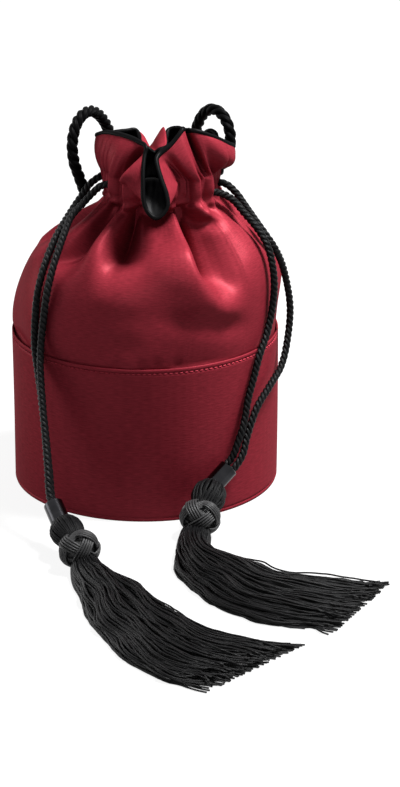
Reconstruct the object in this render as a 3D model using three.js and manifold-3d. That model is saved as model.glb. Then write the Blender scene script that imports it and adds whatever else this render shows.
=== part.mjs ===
// A gathered drawstring pouch: a stiff round band, a satin top drawn in by tasselled cords, a rope handle.
import * as THREE from "three";
import { mergeVertices } from "three/addons/utils/BufferGeometryUtils.js";
import Module from "manifold-3d";

// Millimetres, +Z up, front towards -Y, origin at the centre of the base's underside.
// Azimuths are in degrees from +X towards +Y.

// Stiff band and base
const BODY_DIAMETER = 170;
const WALL_HEIGHT = 101;
const WALL_CLOTH = 1.2;
const WALL_BOARD = 1.6;
const BASE_CLOTH = 1.2;
const BASE_BOARD = 2.4;
const LINING_CLOTH = 0.8;

// Gathered top
const TOP_CLOTH = 1.2;
const HEM_DEPTH = 8;
const STRAIGHT_RISE = 11;
const SHOULDER_RISE = 77;
const SHOULDER_FULLNESS = 0.675;
const NECK_FULLNESS = 0.78;
const NECK_RADIUS = 36;
const NECK_LEAN = 10;
const CASING_HEIGHT = 16;
const CASING_STEP = 2.5;
const RUFFLE_HEIGHT = 28;
const RUFFLE_EDGE_RADIUS = 44;
const BINDING_DIAMETER = 2.6;

// Cords
const DRAWCORD_DIAMETER = 4.8;
const DRAWCORD_SIDES = 8;
const DRAWCORD_STEPS = 80;
const HANDLE_DIAMETER = 7;
const HANDLE_SIDES = 10;
const HANDLE_STEPS = 24;
const CORD_PLAY = 1.8;
const RING_SPACING = 5.8;
const RING_STEPS = 10;
const RING_GAP = 40;
const SLIT_LENGTH = 36;
const SLIT_HEIGHT = 7.6;
const LEFT_EXIT_AZIMUTH = 195;
const RIGHT_EXIT_AZIMUTH = -13;

// Tassels
const FERRULE_LENGTH = 15;
const FERRULE_WALL = 0.7;
const FERRULE_CHAMFER = 0.3;
const CORD_SEAT = 5;
const CORD_LEAD = 4;
const HEAD_DIAMETER = 20;
const HEAD_NECK_RADIUS = 3.8;
const HEAD_NECK_LENGTH = 5.6;
const TASSEL_NECK_RADIUS = 6.2;
const KNOT_DIAMETER = 25;
const KNOT_LENGTH = 20;
const HEAD_TO_KNOT = 29;

// Fits and facets
const FIT = 0.3;
const ROUND_SEGMENTS = 40;
const SMALL_SEGMENTS = 24;
const SHOULDER_POINTS = 8;
const SKIRT_SIDES = 12;
const ARC_POINTS = 5;
const BINDING_SIDES = 8;

// Sizes that follow from the ones above
const bodyRadius = BODY_DIAMETER / 2;
const hemRadius = bodyRadius - WALL_CLOTH - FIT;
const hemBottom = WALL_HEIGHT - HEM_DEPTH;
const baseTop = BASE_CLOTH + FIT + BASE_BOARD;
const liningRadius = hemRadius - WALL_BOARD - FIT;
const liningFloor = baseTop + FIT + LINING_CLOTH;
const shoulderBottom = WALL_HEIGHT + STRAIGHT_RISE;
const neckBottom = shoulderBottom + SHOULDER_RISE;
const neckTop = neckBottom + CASING_HEIGHT;
const ruffleTop = neckTop + RUFFLE_HEIGHT;
const casingDepth = DRAWCORD_DIAMETER + CORD_PLAY;
const ringRadius = NECK_RADIUS - TOP_CLOTH - casingDepth / 2;
const casingMiddle = neckBottom + CASING_HEIGHT / 2;
const ferruleBore = DRAWCORD_DIAMETER + FIT + FIT / 2;
const ferruleRadius = ferruleBore + FERRULE_WALL;
const cordSeatOffset = (DRAWCORD_DIAMETER + FIT) / 2;

const wasm = await Module();
wasm.setup();

const point = (x, y, z) => new THREE.Vector3(x, y, z);

// A point beside the band: azimuth, distance out from the wall, height
function besideWall(azimuth, out, z) {
  const angle = THREE.MathUtils.degToRad(azimuth);
  const radius = bodyRadius + out;
  return point(radius * Math.cos(angle), radius * Math.sin(angle), z);
}

// A point about the leaning neck's axis
function aboutNeck(azimuth, radius, z) {
  const angle = THREE.MathUtils.degToRad(azimuth);
  return point(NECK_LEAN + radius * Math.cos(angle), radius * Math.sin(angle), z);
}

// A body turned about +Z from [radius, height] pairs
function turned(pairs, segments) {
  const profile = pairs.map(([radius, height]) => new THREE.Vector2(radius, height));
  const geometry = new THREE.LatheGeometry(profile, segments);
  return geometry.rotateX(Math.PI / 2);
}

function disc(radius, bottom, top) {
  return turned([[0, bottom], [radius, bottom], [radius, top], [0, top]], ROUND_SEGMENTS);
}

function shell(outer, inner) {
  return turned([...outer, ...inner.toReversed(), outer[0]], ROUND_SEGMENTS);
}

function tube(outerRadius, thickness, bottom, top) {
  const side = (radius) => [[radius, bottom], [radius, top]];
  return shell(side(outerRadius), side(outerRadius - thickness));
}

// Part of an ellipse as [radius, height] pairs, between two angles in degrees
function arcPairs(centre, reach, from, to) {
  const [start, end] = [from, to].map(THREE.MathUtils.degToRad);
  const arc = new THREE.EllipseCurve(...centre, ...reach, start, end);
  return arc.getPoints(ARC_POINTS).map((p) => [p.x, p.y]);
}

// A profile moved inwards by a distance, square to its own line
function inset(pairs, distance) {
  const normalBetween = (a, b) => new THREE.Vector2(b[1] - a[1], a[0] - b[0]).normalize();
  return pairs.map((pair, i) => {
    const before = normalBetween(pairs[Math.max(i - 1, 0)], pairs[Math.max(i, 1)]);
    const last = pairs.length - 1;
    const after = normalBetween(pairs[Math.min(i, last - 1)], pairs[Math.min(i + 1, last)]);
    const middle = before.clone().add(after).normalize();
    const reach = distance / middle.dot(before);
    return [pair[0] - middle.x * reach, pair[1] - middle.y * reach];
  });
}

// The gathered sleeve's outer line from its lower end to the ruffle's edge, pressed in along the casing
function sleeveLine(bottom, casingInset) {
  const neckFoot = new THREE.Vector2(NECK_RADIUS, neckBottom);
  const shoulder = new THREE.CubicBezierCurve(
    new THREE.Vector2(hemRadius, shoulderBottom),
    new THREE.Vector2(hemRadius, shoulderBottom + SHOULDER_RISE * SHOULDER_FULLNESS),
    new THREE.Vector2((hemRadius + NECK_RADIUS) / 2, shoulderBottom + SHOULDER_RISE * NECK_FULLNESS),
    neckFoot,
  );
  const curve = shoulder.getPoints(SHOULDER_POINTS).map((p) => [p.x, p.y]);
  const casingRadius = NECK_RADIUS - casingInset;
  return [
    [hemRadius, bottom],
    ...curve,
    [casingRadius, neckBottom + CASING_STEP],
    [casingRadius, neckTop - CASING_STEP],
    [NECK_RADIUS, neckTop],
    [RUFFLE_EDGE_RADIUS, ruffleTop],
  ];
}

// Cloth above the band leans until the neck stands NECK_LEAN towards +X
function leaning(geometry) {
  const position = geometry.getAttribute("position");
  for (let i = 0; i < position.count; i++) {
    const shift = NECK_LEAN * THREE.MathUtils.smoothstep(position.getZ(i), WALL_HEIGHT, neckBottom);
    position.setX(i, position.getX(i) + shift);
  }
  return geometry;
}

function solidOf(geometry) {
  const bare = geometry.clone().deleteAttribute("normal").deleteAttribute("uv");
  const merged = mergeVertices(bare);
  return new wasm.Manifold(
    new wasm.Mesh({
      numProp: 3,
      vertProperties: merged.getAttribute("position").array,
      triVerts: new Uint32Array(merged.index.array),
    }),
  );
}

function geometryOf(solid) {
  const { vertProperties, triVerts } = solid.getMesh();
  return new THREE.BufferGeometry()
    .setAttribute("position", new THREE.BufferAttribute(vertProperties, 3))
    .setIndex(new THREE.BufferAttribute(triVerts, 1));
}

// The block that opens a slit in the casing's outer wall at an azimuth and height
function slitBlock(azimuth, z) {
  const reach = 2 * casingDepth;
  const centre = aboutNeck(azimuth, ringRadius - TOP_CLOTH + reach / 2, z);
  return new THREE.BoxGeometry(reach, SLIT_LENGTH, SLIT_HEIGHT)
    .rotateZ(THREE.MathUtils.degToRad(azimuth))
    .translate(centre.x, centre.y, centre.z);
}

function cord(points, diameter, sides, steps) {
  const corners = Array.from({ length: sides }, (_, i) => {
    const angle = (2 * Math.PI * i) / sides;
    return new THREE.Vector2(Math.cos(angle), Math.sin(angle)).multiplyScalar(diameter / 2);
  });
  const path = new THREE.CatmullRomCurve3(points, false, "centripetal");
  const section = new THREE.Shape(corners);
  return new THREE.ExtrudeGeometry(section, { steps, bevelEnabled: false, extrudePath: path });
}

// One drawcord: up a run, through the slit, round inside the casing and back down the other run
function drawcordPoints(seats, runUp, runDown, exitAzimuth, z) {
  const inside = Array.from({ length: RING_STEPS + 1 }, (_, i) => {
    const turn = THREE.MathUtils.lerp(360 - RING_GAP, RING_GAP, i / RING_STEPS);
    return aboutNeck(exitAzimuth + turn, ringRadius, z);
  });
  return [...seats[0], ...runUp, ...inside, ...runDown, ...seats[1].toReversed()];
}

// Where a pair of cords enters a ferrule: one inner end and one lead point for each
function cordSeats(top, foot, sideways) {
  const axis = foot.clone().sub(top).normalize();
  const across = sideways.clone().addScaledVector(axis, -sideways.dot(axis)).normalize();
  return [-1, 1].map((side) => {
    const entry = top.clone().addScaledVector(across, side * cordSeatOffset);
    const inner = entry.clone().addScaledVector(axis, CORD_SEAT);
    return [inner, entry.clone().addScaledVector(axis, -CORD_LEAD)];
  });
}

// A closed skin over a row of elliptical stations, with flat ends
function loft(stations) {
  const path = new THREE.CatmullRomCurve3(stations.map((s) => s.centre), false, "centripetal");
  const rings = stations.map(({ centre, halfWidth, halfHeight }, i) => {
    const along = path.getTangent(i / (stations.length - 1));
    const side = point(-along.y, along.x, 0).normalize();
    const up = along.clone().cross(side).normalize();
    return Array.from({ length: SKIRT_SIDES }, (_, k) => {
      const angle = (2 * Math.PI * k) / SKIRT_SIDES;
      return centre.clone()
        .addScaledVector(side, halfWidth * Math.cos(angle))
        .addScaledVector(up, halfHeight * Math.sin(angle));
    });
  });
  const vertices = [...rings.flat(), stations[0].centre, stations.at(-1).centre];
  const firstCap = vertices.length - 2;
  const lastCap = vertices.length - 1;
  const lastRing = (rings.length - 1) * SKIRT_SIDES;
  const triangles = [];
  for (let k = 0; k < SKIRT_SIDES; k++) {
    const next = (k + 1) % SKIRT_SIDES;
    for (let row = 0; row < lastRing; row += SKIRT_SIDES) {
      const above = row + SKIRT_SIDES;
      triangles.push(row + k, row + next, above + k, row + next, above + next, above + k);
    }
    triangles.push(firstCap, next, k, lastCap, lastRing + k, lastRing + next);
  }
  return new THREE.BufferGeometry().setFromPoints(vertices).setIndex(triangles);
}

const satin = { color: 0x701d2c, roughness: 0.45, metalness: 0 };
const blackSatin = { color: 0x121113, roughness: 0.5, metalness: 0 };
const blackCord = { color: 0x151516, roughness: 0.7, metalness: 0 };
const greyBoard = { color: 0x9a958c, roughness: 0.9, metalness: 0 };
const gunmetal = { color: 0x4a494d, roughness: 0.25, metalness: 1 };

const pouch = new THREE.Group();

function piece(name, geometry, look, parent = pouch) {
  const mesh = new THREE.Mesh(geometry, new THREE.MeshStandardMaterial(look));
  mesh.name = name;
  parent.add(mesh);
}

// Base and band, from the outside in
piece("base_cover", disc(hemRadius, 0, BASE_CLOTH), satin);
piece("base_board", disc(hemRadius, BASE_CLOTH + FIT, baseTop), greyBoard);
piece("band_cover", tube(bodyRadius, WALL_CLOTH, 0, WALL_HEIGHT), satin);
piece("band_board", tube(hemRadius, WALL_BOARD, baseTop + FIT, hemBottom - FIT), greyBoard);

// Gathered top with a slit on each side of its casing
const leftRingZ = casingMiddle + RING_SPACING / 2;
const rightRingZ = casingMiddle - RING_SPACING / 2;
const topLine = sleeveLine(hemBottom, 0);
const topCloth = solidOf(leaning(shell(topLine, inset(topLine, TOP_CLOTH))));
const slitTop = topCloth
  .subtract(solidOf(slitBlock(LEFT_EXIT_AZIMUTH, leftRingZ)))
  .subtract(solidOf(slitBlock(RIGHT_EXIT_AZIMUTH, rightRingZ)));
piece("gathered_top", geometryOf(slitTop), satin);

// Lining: a floor and a sleeve that follows the top, pressed in at the casing to leave the cord channel
piece("lining_floor", disc(liningRadius, baseTop + FIT, liningFloor), blackSatin);
const liningLine = inset(sleeveLine(hemBottom, casingDepth), TOP_CLOTH + FIT);
liningLine[0] = [liningRadius, liningFloor + FIT];
liningLine.splice(1, 0, [liningRadius, hemBottom]);
const liningInside = inset(liningLine, LINING_CLOTH);
piece("lining_sleeve", leaning(shell(liningLine, liningInside)), blackSatin);

// Bound edge of the mouth
const bindingRadius = RUFFLE_EDGE_RADIUS - (TOP_CLOTH + FIT + LINING_CLOTH) / 2;
const binding = new THREE.TorusGeometry(bindingRadius, BINDING_DIAMETER / 2, BINDING_SIDES, ROUND_SEGMENTS);
const bindingHeight = liningInside.at(-1)[1] + FIT + BINDING_DIAMETER / 2;
piece("mouth_binding", binding.translate(NECK_LEAN, 0, bindingHeight), blackSatin);

// Tassels: where each ferrule starts, its axis and the head's, and how the skirt lies.
// A skirt station is its place from the knot's centre, its half width and its half height.
const tassels = {
  left: {
    top: besideWall(-115, 43.7, 25.4),
    ferruleAlong: point(0.349, -0.812, -0.47).normalize(),
    headAlong: point(0.41, -0.892, -0.186).normalize(),
    cordsSideways: point(0, -0.935, 0.353),
    skirt: [
      [5.7, -12.5, -2.6, 9, 8.5],
      [12.3, -27, -4, 15, 7.5],
      [23.3, -53, -5.6, 22, 6],
      [41.3, -85, -6.6, 29, 5],
      [65.3, -113, -7.4, 34, 4.3],
      [89.3, -133, -8.1, 38, 3.6],
      [103.3, -142, -8.5, 39, 3.2],
    ],
  },
  right: {
    top: besideWall(-54.35, ferruleRadius + FIT, 32.4),
    ferruleAlong: point(-0.658, -0.4385, -0.611).normalize(),
    headAlong: point(-0.276, -0.895, -0.351).normalize(),
    cordsSideways: point(1, 0, 0),
    skirt: [
      [-3.9, -12.5, -4.4, 9, 7.4],
      [-5.9, -26.5, -5.2, 13, 6.8],
      [-3.4, -45.5, -6, 19, 6],
      [7.6, -65.5, -6.8, 26, 5.2],
      [26.6, -81.5, -7.5, 32, 4.5],
      [54.6, -94.5, -8, 36, 4],
      [78.6, -101.5, -8.5, 38, 3.5],
      [92.6, -104.5, -8.7, 38, 3.2],
    ],
  },
};

const ferruleLine = (radius, cut) => [
  [radius - cut, 0],
  [radius, FERRULE_CHAMFER],
  [radius, FERRULE_LENGTH - FERRULE_CHAMFER],
  [radius - cut, FERRULE_LENGTH],
];
const ferruleOuter = ferruleLine(ferruleRadius, FERRULE_CHAMFER);
const ferruleInner = ferruleLine(ferruleBore, 0);
const ferruleRing = [...ferruleOuter, ...ferruleInner.toReversed(), ferruleOuter[0]];

// A ball that sits in the ferrule's mouth at any tilt, a neck, a full bulb, and a neck inside the knot
const knotTop = HEAD_TO_KNOT - KNOT_LENGTH / 2 - FIT;
const bulbMiddle = (HEAD_NECK_LENGTH + knotTop) / 2;
const bulbHalf = knotTop - bulbMiddle;
const headRadius = HEAD_DIAMETER / 2;
const ballRadius = ferruleBore - FIT;
const ballEnd = THREE.MathUtils.radToDeg(Math.acos(HEAD_NECK_RADIUS / ballRadius));
const headLine = [
  ...arcPairs([0, 0], [ballRadius, ballRadius], -90, ballEnd),
  ...arcPairs([HEAD_NECK_RADIUS, bulbMiddle], [headRadius - HEAD_NECK_RADIUS, bulbHalf], -90, 0),
  ...arcPairs([TASSEL_NECK_RADIUS, bulbMiddle], [headRadius - TASSEL_NECK_RADIUS, bulbHalf], 0, 90).slice(1),
  [TASSEL_NECK_RADIUS, HEAD_TO_KNOT - FIT],
  [0, HEAD_TO_KNOT - FIT],
];

// A thick ring of cord round the tassel's neck
const knotBore = TASSEL_NECK_RADIUS + FIT;
const knotReach = [KNOT_DIAMETER / 2 - knotBore, KNOT_LENGTH / 2];
const knotArc = arcPairs([knotBore, HEAD_TO_KNOT], knotReach, -90, 90);
const knotLine = [...knotArc, knotArc[0]];

for (const [side, tassel] of Object.entries(tassels)) {
  const foot = tassel.top.clone().addScaledVector(tassel.ferruleAlong, FERRULE_LENGTH);
  const knotCentre = foot.clone().addScaledVector(tassel.headAlong, HEAD_TO_KNOT);
  const zAxis = point(0, 0, 1);
  const ferrule = new THREE.Group();
  ferrule.position.copy(tassel.top);
  ferrule.quaternion.setFromUnitVectors(zAxis, tassel.ferruleAlong);
  piece(side + "_ferrule", turned(ferruleRing, SMALL_SEGMENTS), gunmetal, ferrule);
  const head = new THREE.Group();
  head.position.copy(foot);
  head.quaternion.setFromUnitVectors(zAxis, tassel.headAlong);
  piece(side + "_tassel_head", turned(headLine, SMALL_SEGMENTS), blackCord, head);
  piece(side + "_tassel_knot", turned(knotLine, SMALL_SEGMENTS), blackCord, head);
  pouch.add(ferrule, head);
  const neckStations = [0, KNOT_LENGTH / 2 + FIT].map((distance) => ({
    centre: knotCentre.clone().addScaledVector(tassel.headAlong, distance),
    halfWidth: TASSEL_NECK_RADIUS,
    halfHeight: TASSEL_NECK_RADIUS,
  }));
  const skirtStations = tassel.skirt.map(([x, y, z, halfWidth, halfHeight]) => ({
    centre: knotCentre.clone().add(point(x, y, z)),
    halfWidth,
    halfHeight,
  }));
  piece(side + "_tassel_skirt", loft([...neckStations, ...skirtStations]), blackCord);
  tassel.seats = cordSeats(tassel.top, foot, tassel.cordsSideways);
}

// Drawcords: each run's points from the ferrule up to its slit, then from the slit down again
const leftRunUp = [
  [-57.5, -99, 41], [-60, -85.5, 58.5], [-62.8, -72.5, 76.5], [-65.6, -61.7, 93], [-67.4, -55.8, 106],
  [-67.1, -52.3, 122], [-65.1, -48.6, 139.7], [-60.8, -41.9, 154.8], [-54.3, -29.7, 168.8],
  [-44.5, -11.5, 181.5], [-39.5, -5.5, 187.5], [-34, -1.5, 194.5], [-27.5, 0.8, 199],
  [-21.8, 5.5, 199.9],
].map((p) => point(...p));
const leftRunDown = [
  [-13.2, -21.6, 199.9], [-20, -18.3, 199.6], [-26.5, -16, 197.5], [-31.5, -15.2, 193],
  [-38, -17.2, 186.5], [-45, -23.4, 179.9], [-50.5, -37.8, 168.6], [-55.7, -49.8, 154.6],
  [-59.3, -56.5, 139.8], [-61.8, -59, 122.2], [-63.3, -62, 107.5], [-63.5, -68, 94.5], [-62, -79, 78],
  [-60, -91, 60.5], [-58, -104, 43.5],
].map((p) => point(...p));
const rightRunUp = [
  [56.4, -70.3, 40.5], [58.8, -68.5, 47.3], [61.2, -66.6, 54], [63.2, -63.2, 62], [65.2, -59.6, 73],
  [68.8, -55.2, 86], [72, -51, 98], [76.6, -41.8, 109], [80.2, -36.2, 124.1], [81.3, -35.2, 140.2],
  [79.9, -33.9, 153], [76.7, -31, 164], [70.5, -26.4, 173.4], [62.5, -20.5, 181.5], [56, -15.5, 188],
  [50, -15.5, 192], [43.8, -16.8, 193.9], [37, -19.6, 194.1],
].map((p) => point(...p));
const rightRunDown = [
  [41.6, 7.6, 194.1], [46.4, 3, 194.6], [52, 0.8, 193.5], [57.8, -1, 188.5], [62.8, -5.5, 182.6],
  [68.8, -14, 176], [75.4, -19.6, 168], [81.4, -19.4, 159], [86.2, -14.5, 147.5], [90, -10.5, 132],
  [92.2, -10, 115.6], [90.8, -15, 98], [86.8, -25.5, 83], [79, -41, 74.5], [71.4, -53.1, 66],
  [67.6, -58.8, 58], [64.4, -63.6, 48.5], [61.6, -69.4, 39],
].map((p) => point(...p));

function drawcord(name, seats, runUp, runDown, exitAzimuth, ringZ) {
  const points = drawcordPoints(seats, runUp, runDown, exitAzimuth, ringZ);
  piece(name, cord(points, DRAWCORD_DIAMETER, DRAWCORD_SIDES, DRAWCORD_STEPS), blackCord);
}

drawcord("left_drawcord", tassels.left.seats, leftRunUp, leftRunDown, LEFT_EXIT_AZIMUTH, leftRingZ);
drawcord("right_drawcord", tassels.right.seats, rightRunUp, rightRunDown, RIGHT_EXIT_AZIMUTH, rightRingZ);

// Rope handle: sewn to the shoulder beside the casing at both ends, its middle hanging behind the neck
const handlePoints = [
  [-36.7, 8.6, 183.3], [-40.6, 6.4, 196], [-44, 4, 208], [-44.8, 4, 219.5], [-42.9, 8, 229],
  [-39.2, 13.8, 234.4], [-34.4, 20.8, 235.7], [-29.9, 28, 232.2], [-26, 34.8, 225.6], [-22.6, 41.2, 216.5],
  [-18, 48, 206], [-9.5, 54.5, 195], [0, 58.3, 187.6], [10.5, 60, 184.6], [20.5, 58.7, 188], [27.5, 55, 197],
  [31, 51, 208], [33.3, 46.5, 219], [37.5, 41.4, 228.5], [43.3, 34.4, 233.3], [49.2, 27.7, 231.3],
  [53, 23, 225], [54.3, 21.5, 216.5], [52.3, 23.5, 206.5], [47.8, 26.8, 197], [41.7, 30.4, 186.5],
].map((p) => point(...p));
piece("handle_rope", cord(handlePoints, HANDLE_DIAMETER, HANDLE_SIDES, HANDLE_STEPS), blackCord);

export default pouch;
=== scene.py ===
"""A gathered satin drawstring pouch with tasselled cords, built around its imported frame.
Metres, +Z up, front at -Y."""
import math

import bpy
import numpy as np
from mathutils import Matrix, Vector
from mathutils.bvhtree import BVHTree


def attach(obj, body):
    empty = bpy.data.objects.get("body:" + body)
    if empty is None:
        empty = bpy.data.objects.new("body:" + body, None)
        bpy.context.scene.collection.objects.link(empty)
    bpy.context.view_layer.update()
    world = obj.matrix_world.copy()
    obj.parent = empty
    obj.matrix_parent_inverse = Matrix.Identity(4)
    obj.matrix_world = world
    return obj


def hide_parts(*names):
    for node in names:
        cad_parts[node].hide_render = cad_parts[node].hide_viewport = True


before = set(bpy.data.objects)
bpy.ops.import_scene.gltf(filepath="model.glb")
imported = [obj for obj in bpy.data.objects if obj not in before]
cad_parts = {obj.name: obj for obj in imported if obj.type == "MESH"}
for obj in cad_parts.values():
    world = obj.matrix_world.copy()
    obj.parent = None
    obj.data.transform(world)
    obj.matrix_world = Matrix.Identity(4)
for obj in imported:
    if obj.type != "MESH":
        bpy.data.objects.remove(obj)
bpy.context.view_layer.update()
scene = bpy.context.scene
draw = np.random.default_rng(11)
MM = 0.001

# Sizes shared by several pieces
BODY_RADIUS = 0.085
BODY_GIRTH = 2 * math.pi * BODY_RADIUS
BAND_HEIGHT = 0.101
BAND_CLOTH = 0.0012
NECK_LEAN = 0.010
NECK_BOTTOM = 0.189
CASING_TOP = 0.205
CASING_RADIUS = 0.0345
RING_RADIUS = 0.0315
DRAWCORD_DIAMETER = 0.0048
HANDLE_DIAMETER = 0.007
FERRULE_LENGTH = 0.015
FERRULE_RADIUS = 0.0061
FERRULE_BORE = 0.00525
CORD_SEAT = 0.005
CORD_LEAD = 0.004
CORD_SEAT_OFFSET = 0.00255
HEAD_TO_KNOT = 0.029
TASSEL_NECK_RADIUS = 0.0062
FLOOR_CLEARANCE = 0.0003


# Camera, stage and light

IMAGE_WIDTH, IMAGE_HEIGHT = 400, 787
CAMERA_DISTANCE = 1.8
CAMERA_ELEVATION = math.radians(20.7)
CAMERA_TARGET = Vector((0.03505, 0, 0.0536))
FOCAL_PIXELS = 2790
FLOOR_HALF = 2.0
FLOOR_GREY = 0.12
FLOOR_LIFT = 0.9
AMBIENT = 0.045
WHITE = (1, 1, 1, 1)
LIGHT_TARGET = Vector((0.02, 0, 0.12))

# Each light's place, the side of its square and its watts
LIGHTS = {
    "top": ((0.73, 0.0, 1.56), 0.45, 82),
    "front": ((-0.2, -1.6, 0.7), 0.6, 3.1),
    "side_left": ((-1.3, 0.5, 0.15), 0.9, 13),
}


def set_inputs(tree, node, inputs):
    """Gives a node's inputs values or joins them to other nodes' outputs."""
    for name, value in inputs.items():
        if isinstance(value, bpy.types.NodeSocket):
            tree.links.new(value, node.inputs[name])
        else:
            node.inputs[name].default_value = value


def add_node(tree, kind, inputs, output=0, operation=None):
    """A new node's output."""
    node = tree.nodes.new("ShaderNode" + kind)
    if operation:
        node.operation = operation
    set_inputs(tree, node, inputs)
    return node.outputs[output]


def add_object(name, data):
    item = bpy.data.objects.new(name, data)
    scene.collection.objects.link(item)
    return item


def make_camera():
    data = bpy.data.cameras.new("camera")
    data.lens = FOCAL_PIXELS / max(IMAGE_WIDTH, IMAGE_HEIGHT) * data.sensor_width
    camera = add_object("camera", data)
    back = Vector((0, -math.cos(CAMERA_ELEVATION), math.sin(CAMERA_ELEVATION)))
    camera.location = CAMERA_TARGET + CAMERA_DISTANCE * back
    camera.rotation_euler = back.to_track_quat("Z", "Y").to_euler()
    scene.camera = camera


def make_lights():
    for name, (place, side, watts) in LIGHTS.items():
        data = bpy.data.lights.new(name, "AREA")
        data.size = side
        data.energy = watts
        light = add_object(name, data)
        light.location = place
        light.rotation_euler = (Vector(place) - LIGHT_TARGET).to_track_quat("Z", "Y").to_euler()


def seen_directly(tree):
    """1 for camera, mirror and see-through rays, 0 for the rays that carry light."""
    path = tree.nodes.new("ShaderNodeLightPath").outputs
    seen = path["Is Camera Ray"]
    for ray in ("Is Glossy Ray", "Is Transmission Ray"):
        seen = add_node(tree, "Math", {0: seen, 1: path[ray]}, operation="MAXIMUM")
    return seen


def make_world():
    """White where it is seen, dim where it lights the object."""
    world = bpy.data.worlds.new("studio")
    world.use_nodes = True
    scene.world = world
    tree = world.node_tree
    ambient = tree.nodes["Background"]
    set_inputs(tree, ambient, {"Color": WHITE, "Strength": AMBIENT})
    white = add_node(tree, "Background", {"Color": WHITE, "Strength": 1})
    mix = add_node(tree, "MixShader", {"Fac": seen_directly(tree), 1: ambient.outputs[0], 2: white})
    set_inputs(tree, tree.nodes["World Output"], {"Surface": mix})


def make_floor():
    mesh = bpy.data.meshes.new("floor")
    corners = [(FLOOR_HALF * x, FLOOR_HALF * y, 0) for x, y in ((-1, -1), (1, -1), (1, 1), (-1, 1))]
    mesh.from_pydata(corners, [], [(0, 1, 2, 3)])
    add_object("floor", mesh)
    material, tree = new_material("pale_floor", {
        "Base Color": (FLOOR_GREY, FLOOR_GREY, FLOOR_GREY, 1),
        "Roughness": 0.8,
        "Specular IOR Level": 0.1,
        "Emission Color": WHITE,
    })
    lift = add_node(tree, "Math", {0: seen_directly(tree), 1: FLOOR_LIFT}, operation="MULTIPLY")
    finish_material(tree, {"Emission Strength": lift})
    mesh.materials.append(material)


# Materials

SATIN_ROUGHNESS = 0.49
SATIN_COAT = 0.07
COAT_ROUGHNESS = 0.4
YARN_ROUGHNESS = 0.42

# Texture scales across a piece's UV map and along it
SLUBS = (170, 2100)
WEFT = (60, 560)
GRAIN = (330, 2600)
BRUSHED = (60, 400)


def finish_material(tree, inputs):
    set_inputs(tree, tree.nodes["Principled BSDF"], inputs)


def new_material(name, inputs):
    material = bpy.data.materials.new(name)
    material.use_nodes = True
    finish_material(material.node_tree, inputs)
    return material, material.node_tree


def scaled_uv(tree, across, along):
    """Texture coordinates from the piece's own UV map, stretched by a factor each way."""
    uv = add_node(tree, "TexCoord", {}, "UV")
    return add_node(tree, "Mapping", {"Vector": uv, "Scale": (across, along, 1)})


def noise(tree, vector, scale=1.0, detail=3.0):
    return add_node(tree, "TexNoise", {"Vector": vector, "Scale": scale, "Detail": detail}, "Fac")


def ramp(tree, factor, low, high, start=0.3, end=0.7):
    node = tree.nodes.new("ShaderNodeValToRGB")
    for element, position, colour in zip(node.color_ramp.elements, (start, end), (low, high)):
        element.position = position
        element.color = (*colour, 1)
    set_inputs(tree, node, {"Fac": factor})
    return node.outputs["Color"]


def bump(tree, height, strength, distance, **base):
    inputs = {"Height": height, "Strength": strength, "Distance": distance, **base}
    return add_node(tree, "Bump", inputs, "Normal")


def threads(tree, across, along, distortion=1.2):
    """A row of fine threads from a wave over the UV map."""
    uv = scaled_uv(tree, across, along)
    inputs = {"Vector": uv, "Scale": 1.0, "Distortion": distortion, "Detail": 1.0}
    return add_node(tree, "TexWave", inputs, "Fac")


def satin_material(name, dark, light, gloss):
    """Woven satin: slubs and grain drawn out along the weft, and a sheen in the cloth's own colour."""
    material, tree = new_material(name, {
        "Roughness": SATIN_ROUGHNESS,
        "Metallic": gloss,
        "Specular IOR Level": 0.0,
        "Specular Tint": (*light, 1),
        "Coat Weight": SATIN_COAT,
        "Coat Roughness": COAT_ROUGHNESS,
    })
    slubs = noise(tree, scaled_uv(tree, *SLUBS))
    grain = noise(tree, scaled_uv(tree, *GRAIN), detail=2.0)
    woven = bump(tree, threads(tree, *WEFT), strength=0.16, distance=0.0002)
    finish_material(tree, {
        "Base Color": ramp(tree, slubs, dark, light, 0.25, 0.75),
        "Normal": bump(tree, grain, strength=0.32, distance=0.0003, Normal=woven),
    })
    return material


def yarn_material(name, dark, light, gloss, twist):
    """Twisted yarn: fibres that run round it at a slant, with lighter and darker stretches."""
    material, tree = new_material(name, {"Roughness": YARN_ROUGHNESS, "Specular IOR Level": gloss})
    fibres = threads(tree, 5, twist, distortion=2.0)
    finish_material(tree, {
        "Base Color": ramp(tree, fibres, dark, light, 0.1, 0.9),
        "Normal": bump(tree, fibres, strength=0.35, distance=0.0003),
    })
    return material


def gunmetal_material():
    material, tree = new_material("gunmetal", {"Roughness": 0.18, "Metallic": 1.0})
    brushed = noise(tree, scaled_uv(tree, *BRUSHED))
    finish_material(tree, {
        "Base Color": ramp(tree, brushed, (0.018, 0.018, 0.02), (0.034, 0.034, 0.037)),
        "Normal": bump(tree, brushed, strength=0.03, distance=0.0001),
    })
    return material


def board_material():
    material, tree = new_material("grey_board", {"Roughness": 0.9})
    pulp = noise(tree, add_node(tree, "TexCoord", {}, "Object"), scale=220.0)
    finish_material(tree, {
        "Base Color": ramp(tree, pulp, (0.25, 0.23, 0.2), (0.36, 0.33, 0.29)),
        "Normal": bump(tree, pulp, strength=0.2, distance=0.0003),
    })
    return material


# Mesh helpers

def unit(vectors):
    return vectors / np.linalg.norm(vectors, axis=-1, keepdims=True)


def smoothstep(x, low, high):
    t = np.clip((x - low) / (high - low), 0, 1)
    return t * t * (3 - 2 * t)


def steps(line):
    """The distance from each point of a line to the next."""
    return np.linalg.norm(np.diff(line[:, :3], axis=0), axis=1)


def length_of(line):
    return float(steps(line).sum())


def full_turn(count):
    """Angles evenly round a turn."""
    return 2 * np.pi * np.arange(count) / count


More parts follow.
